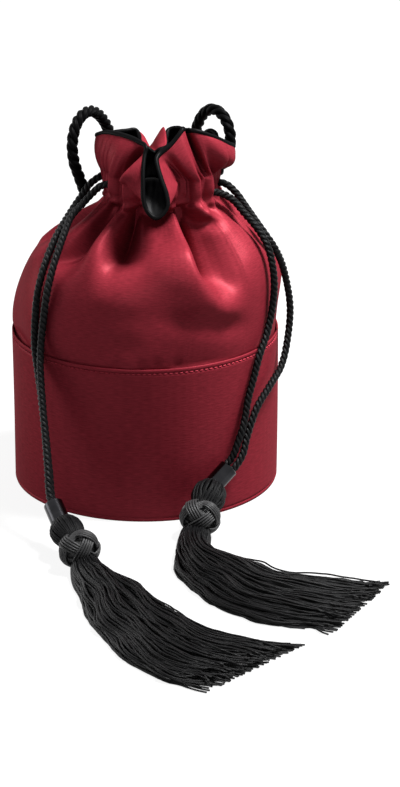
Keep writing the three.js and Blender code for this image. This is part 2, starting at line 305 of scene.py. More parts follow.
def spokes(angles, side, up):
    """Directions at angles from side towards up."""
    return np.cos(angles)[..., None] * side + np.sin(angles)[..., None] * up


def around(azimuth, radius, height, middle=0.0):
    """Places round an upright axis at x = middle."""
    x = middle + radius * np.cos(azimuth)
    return np.stack(np.broadcast_arrays(x, radius * np.sin(azimuth), height), -1)


def hermite(t, start, leave, end, arrive):
    """A curve from start to end with given slopes there, for t from 0 to 1."""
    return ((2 * t**3 - 3 * t**2 + 1) * start + (t**3 - 2 * t**2 + t) * leave
            + (3 * t**2 - 2 * t**3) * end + (t**3 - t**2) * arrive)


def catmull_rom(points, turn=None, samples=16):
    """A centripetal Catmull-Rom curve through rows whose first three columns are a place.
    A closed curve gives turn, what each column gains in one round."""
    p = np.asarray(points, float)
    if turn is None:
        p = np.vstack([2 * p[0] - p[1], p, 2 * p[-1] - p[-2]])
    else:
        p = np.vstack([p[-1] - turn, p, p[:2] + turn])
    knots = steps(p) ** 0.5
    before, here, after = (knots[i:len(knots) - 2 + i, None] for i in range(3))
    p0, p1, p2, p3 = (p[i:len(p) - 3 + i] for i in range(4))
    leave = ((p1 - p0) / before - (p2 - p0) / (before + here) + (p2 - p1) / here) * here
    arrive = ((p2 - p1) / here - (p3 - p1) / (here + after) + (p3 - p2) / after) * here
    t = (np.arange(samples) / samples)[None, :, None]
    p1, p2, leave, arrive = (a[:, None] for a in (p1, p2, leave, arrive))
    curve = hermite(t, p1, leave, p2, arrive)
    return np.vstack([curve.reshape(-1, p.shape[1]), p2[-1]])


def spaced(curve, count, measure=None):
    """The curve's rows again, evenly spaced by length or by a given running measure."""
    if measure is None:
        measure = steps(curve)
    reach = np.concatenate([[0], np.cumsum(measure)])
    at = np.linspace(0, reach[-1], count)
    return np.stack([np.interp(at, reach, column) for column in curve.T], axis=1)


def make_piece(name, vertices, faces, uvs, material, nodes=()):
    mesh = bpy.data.meshes.new(name)
    mesh.from_pydata(vertices.reshape(-1, 3).tolist(), [], faces)
    mesh.uv_layers.new(name="cloth").data.foreach_set("uv", np.asarray(uvs, np.float32).ravel())
    mesh.shade_smooth()
    mesh.materials.append(material)
    piece = add_object(name, mesh)
    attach(piece, "root")
    if nodes:
        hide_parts(*nodes)
    return piece


def grid_faces(rows, columns, wrap_rows=False):
    """Faces of a sheet that closes round its columns, and the row and column of each face corner."""
    last = rows if wrap_rows else rows - 1
    i, j = (a.ravel() for a in np.meshgrid(np.arange(last), np.arange(columns), indexing="ij"))
    corners = np.stack([np.stack([i + di, j + dj], -1) for di, dj in ((0, 0), (0, 1), (1, 1), (1, 0))], 1)
    faces = corners[..., 0] % rows * columns + corners[..., 1] % columns
    return faces, corners


def make_skin(name, grid, material, slot, node, across, along, wrap_rows=False, kept=slice(None)):
    """A sheet from rows of points that close round. across and along are its UV steps in metres."""
    faces, corners = grid_faces(*grid.shape[:2], wrap_rows)
    uvs = np.stack([across * corners[..., 1], along * corners[..., 0]], -1)
    return make_piece(name, grid, faces[kept].tolist(), uvs[kept], material, [node])


def carried_frames(lines):
    """Tangents and untwisted normals along several lines of points."""
    tangents = unit(np.gradient(lines, axis=1))
    upright = np.abs(tangents[:, 0, 2:3]) > 0.9
    normal = np.cross(tangents[:, 0], np.where(upright, [[1.0, 0, 0]], [[0, 0, 1.0]]))
    normals = np.empty_like(lines)
    for i in range(lines.shape[1]):
        normal = unit(normal - (normal * tangents[:, i]).sum(-1, keepdims=True) * tangents[:, i])
        normals[:, i] = normal
    return tangents, normals


def make_tubes(name, lines, radii, sides, material, nodes=()):
    """Closed tubes along several lines with as many points each."""
    lines = np.asarray(lines, float)
    count, rings = lines.shape[:2]
    tangents, normals = carried_frames(lines)
    binormals = np.cross(tangents, normals)
    outward = spokes(full_turn(sides), normals[:, :, None], binormals[:, :, None])
    vertices = lines[:, :, None] + np.broadcast_to(radii, (count, rings))[:, :, None, None] * outward
    quads, corners = grid_faces(rings, sides)
    step = np.linalg.norm(np.diff(lines, axis=1), axis=2).mean()
    quad_uvs = np.stack([corners[..., 1] / sides, corners[..., 0] * step], -1)
    faces, uvs = [], []
    ring = np.arange(sides)
    for k in range(count):
        first = k * rings * sides
        caps = [(first + ring[::-1]).tolist(), (first + (rings - 1) * sides + ring).tolist()]
        faces += (first + quads).tolist() + caps
        uvs.append(np.vstack([quad_uvs.reshape(-1, 2), np.zeros((2 * sides, 2))]))
    return make_piece(name, vertices, faces, np.vstack(uvs), material, nodes)


# Cords

def rope_strands(path, offset, pitch, count=3):
    """The centre lines of strands laid round a path with an S twist."""
    tangents, normals = (a[0] for a in carried_frames(path[None]))
    binormals = np.cross(tangents, normals)
    reach = np.concatenate([[0], np.cumsum(steps(path))])
    turns = -2 * np.pi * (reach / pitch)[None] + full_turn(count)[:, None]
    return path + offset * spokes(turns, normals, binormals)


STRAND_SIDES = 8
RINGS_PER_TURN = 13

# Shares of a rope's thickness
STRAND_OFFSET = 0.245
STRAND_RADIUS = 0.262


def make_rope(name, points, thickness, pitch, material, node):
    """A rope of three strands, and the line along its middle."""
    curve = catmull_rom(points)
    rings = int(length_of(curve) / pitch * RINGS_PER_TURN)
    path = spaced(curve, rings)
    strands = rope_strands(path, STRAND_OFFSET * thickness, pitch)
    radius = STRAND_RADIUS * thickness
    rope = make_tubes(name, strands, radius, STRAND_SIDES, material, [node])
    return rope, path


class Tassel:
    """Where a ferrule starts, its axis and the tassel head's, which way its two cords lie side by side,
    the two edges of the skirt on the table, the height of the skirt's bundle along it, the number, radius
    and wander of the head's yarns, and the turn of the woven knot."""

    def __init__(self, top, ferrule_along, head_along, cords_sideways, near_edge, far_edge, bundle,
                 head_yarns, knot_turn):
        self.top = np.array(top)
        self.ferrule_along = unit(np.array(ferrule_along))
        self.head_along = unit(np.array(head_along))
        self.cords_sideways = np.array(cords_sideways)
        self.foot = self.top + FERRULE_LENGTH * self.ferrule_along
        self.knot = self.foot + HEAD_TO_KNOT * self.head_along
        self.near_edge, self.far_edge, self.bundle = near_edge, far_edge, bundle
        self.head_yarns, self.knot_turn = head_yarns, knot_turn

    def seats(self):
        """The inner end and the lead point of each of the two cords in the ferrule."""
        axis = self.ferrule_along
        across = unit(self.cords_sideways - (self.cords_sideways @ axis) * axis)
        entries = [self.top + side * CORD_SEAT_OFFSET * across for side in (-1, 1)]
        return [[entry + CORD_SEAT * axis, entry - CORD_LEAD * axis] for entry in entries]


left_tassel = Tassel(
    top=(-0.05439, -0.11664, 0.0254),
    ferrule_along=(0.349, -0.812, -0.47),
    head_along=(0.41, -0.892, -0.186),
    cords_sideways=(0, -0.935, 0.353),
    near_edge=[(-0.0395, -0.183), (-0.0335, -0.207), (-0.027, -0.2355), (-0.018, -0.258), (-0.006, -0.281),
               (0.005, -0.297), (0.017, -0.307), (0.031, -0.313), (0.043, -0.3165)],
    far_edge=[(-0.013, -0.178), (0.0045, -0.197), (0.018, -0.219), (0.032, -0.2355), (0.046, -0.249),
              (0.059, -0.256), (0.0725, -0.2605), (0.091, -0.265)],
    bundle=[(0, 0.014), (0.1, 0.0145), (0.25, 0.0145), (0.5, 0.012), (0.8, 0.0085), (1, 0.006)],
    head_yarns=(54, 0.00062, 0.06),
    knot_turn=0.4,
)
right_tassel = Tassel(
    top=(0.05318, -0.07415, 0.0324),
    ferrule_along=(-0.658, -0.4385, -0.611),
    head_along=(-0.276, -0.895, -0.351),
    cords_sideways=(1, 0, 0),
    near_edge=[(0.0205, -0.136), (0.0205, -0.152), (0.0235, -0.172), (0.029, -0.187), (0.036, -0.196),
               (0.0435, -0.208), (0.054, -0.221), (0.067, -0.230), (0.084, -0.2365), (0.101, -0.2395),
               (0.114, -0.2415)],
    far_edge=[(0.0405, -0.137), (0.047, -0.147), (0.059, -0.1525), (0.072, -0.161), (0.086, -0.171),
              (0.104, -0.175), (0.1255, -0.178), (0.146, -0.182)],
    bundle=[(0, 0.014), (0.1, 0.015), (0.25, 0.015), (0.5, 0.0125), (0.8, 0.009), (1, 0.0065)],
    head_yarns=(34, 0.00095, 0.25),
    knot_turn=1.3,
)

LEFT_RUN_UP = [
    (-0.0575, -0.099, 0.041), (-0.06, -0.0855, 0.0585), (-0.0628, -0.0725, 0.0765),
    (-0.0656, -0.0617, 0.093), (-0.0674, -0.0558, 0.106), (-0.0671, -0.0523, 0.122),
    (-0.0651, -0.0486, 0.1397), (-0.0608, -0.0419, 0.1548), (-0.0543, -0.0297, 0.1688),
    (-0.0445, -0.0115, 0.1815), (-0.0395, -0.0055, 0.1875), (-0.034, -0.0015, 0.1945),
    (-0.0275, 0.0008, 0.199), (-0.0218, 0.0055, 0.1999),
]
LEFT_RUN_DOWN = [
    (-0.0132, -0.0216, 0.1999), (-0.02, -0.0183, 0.1996), (-0.0265, -0.016, 0.1975),
    (-0.0315, -0.0152, 0.193), (-0.038, -0.0172, 0.1865), (-0.045, -0.0234, 0.1799),
    (-0.0505, -0.0378, 0.1686), (-0.0557, -0.0498, 0.1546), (-0.0593, -0.0565, 0.1398),
    (-0.0618, -0.059, 0.1222), (-0.0633, -0.062, 0.1075), (-0.0635, -0.068, 0.0945),
    (-0.062, -0.079, 0.078), (-0.06, -0.091, 0.0605), (-0.058, -0.104, 0.0435),
]
RIGHT_RUN_UP = [
    (0.0564, -0.0703, 0.0405), (0.0588, -0.0685, 0.0473), (0.0612, -0.0666, 0.054),
    (0.0632, -0.0632, 0.062), (0.0652, -0.0596, 0.073), (0.0688, -0.0552, 0.086), (0.072, -0.051, 0.098),
    (0.0766, -0.0418, 0.109), (0.0802, -0.0362, 0.1241), (0.0813, -0.0352, 0.1402),
    (0.0799, -0.0339, 0.153), (0.0767, -0.031, 0.164), (0.0705, -0.0264, 0.1734),
    (0.0625, -0.0205, 0.1815), (0.056, -0.0155, 0.188), (0.05, -0.0155, 0.192), (0.0438, -0.0168, 0.1939),
    (0.037, -0.0196, 0.1941),
]
RIGHT_RUN_DOWN = [
    (0.0416, 0.0076, 0.1941), (0.0464, 0.003, 0.1946), (0.052, 0.0008, 0.1935), (0.0578, -0.001, 0.1885),
    (0.0628, -0.0055, 0.1826), (0.0688, -0.014, 0.176), (0.0754, -0.0196, 0.168), (0.0814, -0.0194, 0.159),
    (0.0862, -0.0145, 0.1475), (0.09, -0.0105, 0.132), (0.0922, -0.01, 0.1156), (0.0908, -0.015, 0.098),
    (0.0868, -0.0255, 0.083), (0.079, -0.041, 0.0745), (0.0714, -0.0531, 0.066), (0.0676, -0.0588, 0.058),
    (0.0644, -0.0636, 0.0485), (0.0616, -0.0694, 0.039),
]
HANDLE_POINTS = [
    (-0.0367, 0.0086, 0.1833), (-0.0406, 0.0064, 0.196), (-0.044, 0.004, 0.208), (-0.0448, 0.004, 0.2195),
    (-0.0429, 0.008, 0.229), (-0.0392, 0.0138, 0.2344), (-0.0344, 0.0208, 0.2357),
    (-0.0299, 0.028, 0.2322), (-0.026, 0.0348, 0.2256), (-0.0226, 0.0412, 0.2165), (-0.018, 0.048, 0.206),
    (-0.0095, 0.0545, 0.195), (0.0, 0.0583, 0.1876), (0.0105, 0.06, 0.1846), (0.0205, 0.0587, 0.188),
    (0.0275, 0.055, 0.197), (0.031, 0.051, 0.208), (0.0333, 0.0465, 0.219), (0.0375, 0.0414, 0.2285),
    (0.0433, 0.0344, 0.2333), (0.0492, 0.0277, 0.2313), (0.053, 0.023, 0.225), (0.0543, 0.0215, 0.2165),
    (0.0523, 0.0235, 0.2065), (0.0478, 0.0268, 0.197), (0.0417, 0.0304, 0.1865),
]
RING_STEPS = 10
RING_GAP = 40  # degrees of the casing on each side of a cord's exit that its ring leaves free
RING_SPACING = 0.0058
CASING_MIDDLE = 0.197
DRAWCORD_PITCH = 0.0105
HANDLE_PITCH = 0.0172
HANDLE_LOFT = 1.08  # the handle's soft strands stand a little past its nominal size


def drawcord_points(tassel, run_up, run_down, exit_azimuth, ring_z):
    """Up one run, round inside the casing, and back down the other run."""
    seats = tassel.seats()
    azimuths = np.radians(exit_azimuth + np.linspace(360 - RING_GAP, RING_GAP, RING_STEPS + 1))
    ring = around(azimuths, RING_RADIUS, ring_z, NECK_LEAN)
    return np.vstack([seats[0], run_up, ring, run_down, seats[1][::-1]])


# Tassels

def frame_along(axis):
    """Two directions square to an axis."""
    side = unit(np.cross(axis, [0, 0, 1.0]))
    return side, np.cross(side, axis)


FERRULE_CHAMFER = 0.0004
FERRULE_SEGMENTS = 48


def make_ferrule(name, tassel, node):
    edge = FERRULE_CHAMFER
    outer = [(FERRULE_RADIUS - edge, 0), (FERRULE_RADIUS, edge)]
    outer += [(FERRULE_RADIUS, FERRULE_LENGTH - edge), (FERRULE_RADIUS - edge, FERRULE_LENGTH)]
    inner = [(FERRULE_BORE, FERRULE_LENGTH - edge / 2), (FERRULE_BORE, edge / 2)]
    outward = spokes(-full_turn(FERRULE_SEGMENTS), *frame_along(tassel.ferrule_along))
    rows = [tassel.top + r * outward + h * tassel.ferrule_along for r, h in outer + inner]
    ferrule = make_skin(name, np.array(rows), gunmetal, "gunmetal", node,
                        across=0.0008, along=0.004, wrap_rows=True)
    ferrule.data.set_sharp_from_angle(angle=math.radians(30))
    return ferrule


HEAD_RINGS = 30
HEAD_LAYERS = (1.0, 0.86)
HEAD_END = HEAD_TO_KNOT - 0.002
HEAD_SPREAD = 0.03

# The bulb's radius by the distance from the ferrule's mouth
HEAD_OUTLINE = [
    (-0.004, 0.0042), (0.0, 0.0047), (0.002, 0.0066), (0.005, 0.0088), (0.009, 0.0097), (0.013, 0.0094),
    (0.017, 0.0083), (0.021, 0.0068), (0.029, 0.0056),
]


def make_head(name, tassel, node):
    """A bulb of yarns from the ferrule's mouth down into the knot."""
    strands, radius, wander = tassel.head_yarns
    heights = np.linspace(HEAD_OUTLINE[0][0], HEAD_END, HEAD_RINGS)
    reach = np.interp(heights, *zip(*HEAD_OUTLINE))
    reach = np.convolve(np.pad(reach, 1, mode="edge"), np.ones(3) / 3, "valid")
    side, up = frame_along(tassel.head_along)
    lines = []
    for layer, share in enumerate(HEAD_LAYERS):
        count = strands // (layer + 1)
        for k in range(count):
            swing = wander * draw.uniform(-1, 1)
            swing = swing * np.sin(np.linspace(0, np.pi * draw.uniform(0.8, 1.6), HEAD_RINGS))
            angle = 2 * np.pi * (k + 0.5 * layer) / count + swing
            lift = share * reach * (1 + HEAD_SPREAD * draw.standard_normal())
            outward = lift[:, None] * spokes(angle, side, up)
            lines.append(tassel.foot + heights[:, None] * tassel.head_along + outward)
    return make_tubes(name, lines, radius, 6, black_yarn, [node])


KNOT_LEADS = 3
KNOT_BIGHTS = 4
KNOT_PLIES = 5
KNOT_CORD = 0.0015
KNOT_PLY_GAP = 1.08  # from cord to cord, in cord diameters
KNOT_OVER = 0.0009  # how far the cords rise where they cross over others
KNOT_REACH = 0.0118
KNOT_HALF_LENGTH = 0.0098
KNOT_SWING = math.radians(56)
KNOT_TILT = np.array([0, 0.3, -0.85])
KNOT_POINTS = 361
KNOT_CORD_FILL = 0.95  # the drawn share of a cord's thickness

# The ball under the cords, as shares of the knot's own reach and half length
KNOT_BALL_REACH, KNOT_BALL_LENGTH = 0.88, 0.9


def make_knot(name, tassel, node):
    """A woven knot of parallel cords that run three times round a ball, over and under themselves."""
    t = np.linspace(0, 2 * np.pi, KNOT_POINTS)
    along = unit(tassel.head_along + KNOT_TILT)
    side, up = frame_along(along)
    swing = KNOT_SWING * np.cos(KNOT_BIGHTS * t)
    climb = -KNOT_SWING * KNOT_BIGHTS * np.sin(KNOT_BIGHTS * t)
    heading = np.arctan2(climb, KNOT_LEADS * np.cos(swing))
    over = KNOT_OVER * np.sin(2 * KNOT_BIGHTS * t)
    lines = []
    for ply in range(KNOT_PLIES):
        shift = (ply - (KNOT_PLIES - 1) / 2) * KNOT_CORD * KNOT_PLY_GAP / KNOT_REACH
        latitude = swing + shift * np.cos(heading)
        azimuth = KNOT_LEADS * t + tassel.knot_turn - shift * np.sin(heading) / np.cos(swing)
        reach = KNOT_REACH * np.cos(latitude) + over
        height = (KNOT_HALF_LENGTH + over) * np.sin(latitude)
        outward = reach[:, None] * spokes(azimuth, side, up)
        lines.append(tassel.knot + height[:, None] * along + outward)
    # The ball under the cords is one more line, thick in its middle
    latitude = np.linspace(-1.5, 1.5, KNOT_POINTS)
    lines.append(tassel.knot + KNOT_BALL_LENGTH * KNOT_HALF_LENGTH * np.sin(latitude)[:, None] * along)
    lines = np.array(lines)
    lines[..., 2] = np.maximum(lines[..., 2], KNOT_CORD / 2 + FLOOR_CLEARANCE)
    radii = np.full(lines.shape[:2], KNOT_CORD_FILL * KNOT_CORD / 2)
    radii[-1] = KNOT_BALL_REACH * KNOT_REACH * np.cos(latitude)
    return make_tubes(name, lines, radii, 8, knot_yarn, [node])


SKIRT_STRANDS = 400
SKIRT_RINGS = 42
SKIRT_LOCKS = 15
SKIRT_EDGE_POINTS = 160
SKIRT_NECK = [(0.003, 0.006), (0.0095, 0.0092)]  # distance past the knot and half width
YARN_RADIUS = 0.00056
YARN_WAVES = [(0.0006, 0.034), (0.00025, 0.016), (0.0001, 0.007)]  # reach and wavelength
LOCK_WAVE = 0.0018
LOCK_WAVELENGTHS = (0.035, 0.06)
HEIGHT_WAVE = 0.4  # the share of a yarn's waves that goes up and down
UNRAVEL = 0.13  # the most that a yarn falls short, as a share of the skirt
FLICK = 0.005  # how far yarn ends turn aside
DRIFT = 0.16  # how far a yarn strays across the skirt, as a share of half its width

# Every third yarn lies under the others: its share of their height, and of their waves
UNDER_HEIGHT, UNDER_WAVE = 0.03, 0.3

# Where yarns come loose and their ends flick, as shares of the skirt
LOOSE_FADE = (0.03, 0.25)
FLICK_FADE = (0.88, 1.0)

# Past the knot the bundle drops at a slope over a short run, then comes down to its height on the table
NECK_SLOPE, NECK_RUN = 0.4, 0.012
NECK_SPREAD, NECK_MIDDLE = 1.7 * TASSEL_NECK_RADIUS, 0.65
NECK_FADE = (0.008, 0.032)
GOLDEN_SHARE = 0.6180339887


def skirt_edge(tassel, side, edge):
    """One edge of the skirt on the table, from the knot to the yarns' ends."""
    neck = [tassel.knot[:2] + d * tassel.head_along[:2] + half * side for d, half in SKIRT_NECK]
    flat = np.vstack([neck, edge])
    return spaced(catmull_rom(np.column_stack([flat, np.zeros(len(flat))])), SKIRT_EDGE_POINTS)[:, :2]


def make_skirt(name, tassel, node):
    """A bundle of wavy yarns that leaves the knot, falls to the table and fans out between two edges."""
    side = unit(np.cross(tassel.head_along, [0, 0, 1.0]))[:2]
    near = skirt_edge(tassel, side, tassel.near_edge)
    far = skirt_edge(tassel, -side, tassel.far_edge)
    total = 0.5 * (length_of(near) + length_of(far))
    locks = [
        (draw.uniform(*LOCK_WAVELENGTHS), draw.random(), draw.uniform(0.4, 1.0)) for _ in range(SKIRT_LOCKS)
    ]
    lines = []
    for k in range(SKIRT_STRANDS):
        across = 2 * ((k + 0.5) * GOLDEN_SHARE % 1) - 1
        under = k % 3 == 0
        rise = (UNDER_HEIGHT if under else draw.uniform(0, 1)) * math.sqrt(1 - across * across)
        s = np.linspace(0, 1.0 - UNRAVEL * draw.random() ** 1.7, SKIRT_RINGS)
        row = s * (SKIRT_EDGE_POINTS - 1)
        near_line, far_line = (
            np.stack([np.interp(row, np.arange(SKIRT_EDGE_POINTS), column) for column in edge.T], 1)
            for edge in (near, far)
        )
        wavelength, phase, strength = locks[int((across + 1) / 2 * (SKIRT_LOCKS - 1e-9))]
        wave = LOCK_WAVE * strength * np.sin(2 * np.pi * (s * total / wavelength + phase))
        for reach, wavelength in YARN_WAVES:
            reach = reach * draw.uniform(0.3, 1.0)
            wave = wave + reach * np.sin(2 * np.pi * (s * total / wavelength + draw.random()))
        drift = np.clip(across + (0 if under else DRIFT) * draw.standard_normal() * s**1.4, -1, 1)
        place = 0.5 * (near_line * (1 - drift)[:, None] + far_line * (1 + drift)[:, None])
        loose = smoothstep(s, *LOOSE_FADE)
        flick = FLICK * draw.standard_normal() * smoothstep(s, *FLICK_FADE)
        aside = (UNDER_WAVE if under else 1) * loose * wave + flick
        place = place + aside[:, None] * unit(far_line - near_line)
        height = np.interp(s, *zip(*tassel.bundle)) * rise + HEIGHT_WAVE * loose * np.roll(wave, 3)
        neck = tassel.knot[2] - NECK_SLOPE * np.minimum(s * total, NECK_RUN)
        neck = neck + NECK_SPREAD * (rise - NECK_MIDDLE)
        height = neck + (height - neck) * smoothstep(s * total, *NECK_FADE)
        height = np.maximum(height, YARN_RADIUS + FLOOR_CLEARANCE)
        lines.append(np.column_stack([place, height]))
    make_tubes(name, lines, YARN_RADIUS, 5, skirt_yarn, [node])


# Stiff band

STITCH_DROP = 0.0031
STITCH_PITCH = 0.0033
STITCH_LENGTH = 0.0024
STITCH_RADIUS = 0.00042
STITCH_POINTS = 6
GROOVE_DEPTH = 0.0007
GROOVE_WIDTH = 0.0007
SEAM_HEIGHT = 0.0026
SEAM_WIDTH = 0.00045
BAND_COLUMNS = 240
STITCH_SINK, STITCH_DIP = 0.0003, 0.0004  # below the cloth in a stitch's middle, and more at its ends

# The cover's rows outside, closer at the seam and the groove: from one height to another, and how many
BAND_ROWS = ((0.0012, 0.0052, 9), (0.007, 0.094, 40), (0.0955, 0.0998, 12))


def make_band():
    """The stiff band's cover: a closed shell with a rolled top edge, a sewn groove and a foot seam."""
    outer = BODY_RADIUS
    inner = BODY_RADIUS - BAND_CLOTH
    middle = BODY_RADIUS - BAND_CLOTH / 2
    heights = np.concatenate([np.linspace(*span) for span in BAND_ROWS])
    groove = GROOVE_DEPTH * np.exp(-((heights - BAND_HEIGHT + STITCH_DROP) / GROOVE_WIDTH) ** 2)
    seam = GROOVE_DEPTH * np.exp(-((heights - SEAM_HEIGHT) / SEAM_WIDTH) ** 2)
    outside = list(zip(outer - groove - seam, heights))
    rim = [(outer - 0.0001, 0.1004), (outer - 0.0003, BAND_HEIGHT - 0.0001), (middle, BAND_HEIGHT),
           (inner + 0.0002, BAND_HEIGHT - 0.0002), (inner, 0.1002)]
    inside = [(inner, h) for h in (0.09, 0.06, 0.03, 0.003)]
    foot = [(inner + 0.0002, 0.0003), (middle, 0.0), (outer - 0.0003, 0.0002)]
    profile = np.array(outside + rim + inside + foot)
    azimuth = full_turn(BAND_COLUMNS)
    ripple = 0.00018 * np.sin(5 * azimuth + 1.0) + 0.00014 * np.sin(9 * azimuth + 2.2)
    swell = np.sin(np.pi * np.clip(profile[:, 1] / BAND_HEIGHT, 0, 1))
    grid = around(azimuth, profile[:, :1] + swell[:, None] * ripple[None], profile[:, 1:])
    band = make_skin("band_cover_cloth", grid, satin, "wine_satin", "band_cover",
                     across=BODY_GIRTH / BAND_COLUMNS, along=0.0017, wrap_rows=True)


def make_stitches():
    count = int(BODY_GIRTH / STITCH_PITCH)
    share = np.linspace(-0.5, 0.5, STITCH_POINTS)
    radius = BODY_RADIUS - STITCH_SINK - STITCH_DIP * np.abs(2 * share) ** 3
    lines = []
    for k in range(count):
        azimuth = 2 * np.pi * k / count + share * STITCH_LENGTH / BODY_RADIUS
        lines.append(around(azimuth, radius, BAND_HEIGHT - STITCH_DROP))
    make_tubes("band_stitches", lines, STITCH_RADIUS, 6, thread)


# Gathered top

TOP_COLUMNS = 600
ROW_STEP = 0.00125
RUFFLE_ROWS = 26
RIGHT_FULLNESS = 0.0045
FULLNESS_AT, FULLNESS_HALF = 22, 40  # degrees
FULLNESS_START, FULLNESS_SPAN = 0.100, 0.060
SIDE_SLOPE = 0.0085
SIDE_SLOPES_AT = (158, 26)
SIDE_SLOPE_WIDTH = 32

# By height: the share of the side slope, and how deep a fold can be
SIDE_SLOPE_SHARES = [(0.150, 0), (0.163, 0.55), (0.178, 1), (0.186, 0.6), (0.190, 0)]
DEEPEST_FOLDS = [(0.165, 0.030), (0.178, 0.024), (0.187, 0.012), (0.1905, 0.0007)]

# Heights over which folds start above the band, pleats take their place in the casing, and folds push
# level instead of square to the cloth
HEM_FADE = (0.099, 0.102)
CASING_FADE = (0.1845, 0.1905)
LEVEL_FADE = (0.160, 0.186)
GATHER_BLUR = 12
FOLD_BLUR = 2
CASING_CALM = 0.45  # the share of the gathers that the casing takes away
SHOULDER_LINE = [
    (0.0828, 0.0945), (0.0832, 0.101), (0.0836, 0.110), (0.0828, 0.127), (0.0800, 0.1426), (0.0742, 0.156),
    (0.0664, 0.166), (0.0565, 0.175), (0.0455, 0.183), (0.0382, 0.1880), (0.0349, 0.1912), (0.0352, 0.1972),
    (CASING_RADIUS, CASING_TOP),
]

# The ruffle's edge, anticlockwise from the left corner: the edge's place in millimetres, the azimuth where
# its cloth leaves the casing, and how far the cloth swells between the two
RUFFLE = np.array([
    (-29.9, 2, 225.3, -184, -3, 0, 0), (-24.6, -6, 229.1, -172, -3, -2, 0),
    (-18.1, -14, 230.7, -158, -3, -3, 0), (-8.6, -24, 230.9, -142, -2, -4, 0),
    (-2.3, -31, 229.7, -132, -2, -2, 0), (1.4, -36, 227.9, -126, 3, 9, -2),
    (0.9, -40, 223.6, -122, -7, -5, -2), (0, -46, 216.5, -117, -5, -4, -4),
    (-0.2, -51, 208.5, -111, -4, -2, -5), (0.1, -54.5, 200, -105, -2, -1, -3),
    (2.8, -57.5, 193.3, -99, -1, 0, 1), (8, -59, 190, -92, 0, 0, 2), (12.5, -58, 191.6, -86, 1, 0, 1),
    (15.9, -56, 196.7, -81, 2, 0, -2), (15, -53, 204, -76, 3, 0, -3), (12.2, -49, 211.1, -72, 3, 1, -2),
    (9.8, -44.5, 218, -69, 3, 2, -1), (9.1, -41, 222, -66, 2, 3, 0), (10.9, -37.5, 224.2, -62, 1, 0, 0),
    (17.3, -34, 228.9, -56, -1, -4, 0), (22.8, -30, 234.8, -49, 0, -4, 0),
    (24.9, -27, 236.8, -44, 0, -3, 0), (26.4, -16, 232.8, -39, -3, 5, 0),
    (28.9, -24, 235, -34, 0, -3, 0), (33.2, -25, 235, -28, 1, -5, 0), (44.3, -21, 230.4, -17, 5, -6, -1),
    (52.4, -12, 224, -6, 6, -4, -3), (56.6, 0, 218.8, 5, 4, 0, -3), (54.5, 9, 215.5, 17, 4, 1, -2),
    (48, 20, 214, 30, 2, 2, 0), (45, 29, 219, 42, 2, 2, 0), (39.5, 34.5, 219, 52, 1, 3, 0),
    (34.5, 33, 215, 60, 0, 2, 0), (30, 27, 213, 67, -2, -3, 0), (23.5, 29, 222, 73, 0, 2, 0),
    (18, 33, 221.5, 80, 0, 3, 0), (14.5, 32, 220.5, 87, 0, 4, 2), (13.5, 14, 214.5, 93, 0, 11, 11),
    (9.5, 12.5, 213.5, 99, 0, 8, 6), (6.5, 13, 211.5, 105, -1, 5, 1), (3, 12.5, 214, 111, -1, 9, 7),
    (0, 14, 215, 117, -1, 11, 9), (-5.5, 31, 220.8, 124, 0, 4, 2), (-12.5, 27.5, 221.2, 134, -2, 3, 0),
    (-20, 21.5, 221.8, 147, -3, 2, 0), (-26.2, 12, 222.2, 161, -3, 1, 0),
])
RUFFLE_UNITS = (MM, MM, MM, 1, MM, MM, MM)
RUFFLE_TURN = np.array([0, 0, 0, 360, 0, 0, 0])


def lean(heights):
    return NECK_LEAN * smoothstep(heights, BAND_HEIGHT, NECK_BOTTOM)


def shoulder_line():
    return catmull_rom(np.array([(r, 0, z) for r, z in SHOULDER_LINE]))


def surface_point(azimuth_deg, height):
    """A point of the unfolded shoulder."""
    line = shoulder_line()
    radius = np.interp(height, line[:, 2], line[:, 0])
    return around(np.radians(azimuth_deg), radius, height, lean(height))


def signed_degrees(azimuth, middle=0):
    """How far an azimuth is from a middle, from -180 to 180 degrees."""
    return (np.degrees(azimuth) - middle + 180) % 360 - 180


def grid_normals(grid):
    across = np.roll(grid, -1, axis=1) - np.roll(grid, 1, axis=1)
    return unit(np.cross(across, np.gradient(grid, axis=0)) + 1e-12)


class Fold:
    """A fold along a route of azimuths and heights in millimetres. Its depth is negative for a ridge."""

    def __init__(self, route, width, depth, crease=False, start=0.0, stop=0.35):
        self.route, self.width, self.depth, self.crease = route, width * MM, depth * MM, crease
        self.start, self.stop = start, stop

    def depth_at(self, places):
        azimuths, heights = np.array(self.route, float).T
        line = catmull_rom(surface_point(azimuths, heights * MM), samples=6)
        starts, spans = line[:-1], np.diff(line, axis=0)
        best = np.full(len(places), np.inf)
        share = np.zeros(len(places))
        for k, (start, span) in enumerate(zip(starts, spans)):
            t = np.clip((places - start) @ span / (span @ span), 0, 1)
            distance = np.linalg.norm(places - start - t[:, None] * span, axis=1)
            nearer = distance < best
            best = np.where(nearer, distance, best)
            share = np.where(nearer, (k + t) / len(spans), share)
        ends = smoothstep(1 - share, 0, self.stop)
        ends = ends * (self.start + (1 - self.start) * smoothstep(share, 0, 0.35))
        if self.crease:
            soft = 0.5 * self.width
            profile = np.exp(-(np.sqrt(best**2 + soft**2) - soft) / self.width)
        else:
            profile = np.exp(-((best / self.width) ** 2))
        return self.depth * ends * profile


